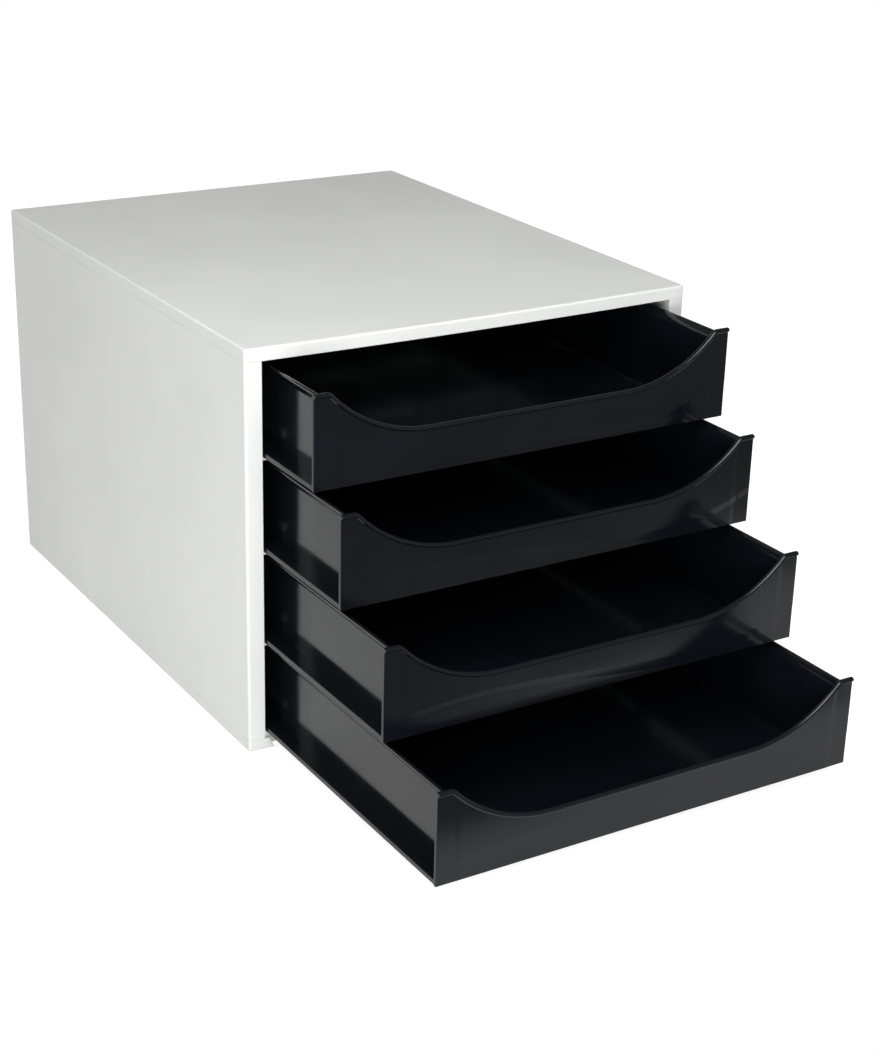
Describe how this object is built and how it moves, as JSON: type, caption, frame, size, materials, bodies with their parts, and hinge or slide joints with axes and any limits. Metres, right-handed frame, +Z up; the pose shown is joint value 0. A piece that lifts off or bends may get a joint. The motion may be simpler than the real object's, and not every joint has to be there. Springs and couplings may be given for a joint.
{
  "type": "letter tray stack with drawers",
  "caption": "Light grey moulded desk housing with open black trays that slide out on side runners, each with a low curved front.",
  "frame": {"origin": "on the desk, under the middle of the housing", "axes": "+Z up, +Y to the back of the housing, so the drawers slide out along -Y, and +X to the right of someone facing the drawers"},
  "size_m": [0.284, 0.5261, 0.235],
  "materials": {
    "shell": "fine satin moulded polystyrene, light grey",
    "drawer": "glossy moulded polystyrene, black with a cool cast",
    "foot": "soft anti-slip pad"
  },
  "bodies": {
    "housing": {"top_cover": "shell", "base_plate": "shell", "left_side_panel": "shell", "right_side_panel": "shell", "back_panel": "shell", "foot_front_left": "foot", "foot_front_right": "foot", "foot_rear_left": "foot", "foot_rear_right": "foot"},
    "drawer_1": {"drawer_1": "drawer"},
    "drawer_2": {"drawer_2": "drawer"},
    "drawer_3": {"drawer_3": "drawer"},
    "drawer_4": {"drawer_4": "drawer"}
  },
  "joints": [
    {"name": "drawer_1_slide", "type": "slide", "parent": "housing", "child": "drawer_1", "axis": [0, -1, 0], "range_m": [-0.056, 0.184]},
    {"name": "drawer_2_slide", "type": "slide", "parent": "housing", "child": "drawer_2", "axis": [0, -1, 0], "range_m": [-0.085, 0.155]},
    {"name": "drawer_3_slide", "type": "slide", "parent": "housing", "child": "drawer_3", "axis": [0, -1, 0], "range_m": [-0.13, 0.11]},
    {"name": "drawer_4_slide", "type": "slide", "parent": "housing", "child": "drawer_4", "axis": [0, -1, 0], "range_m": [-0.183, 0.057]}
  ]
}
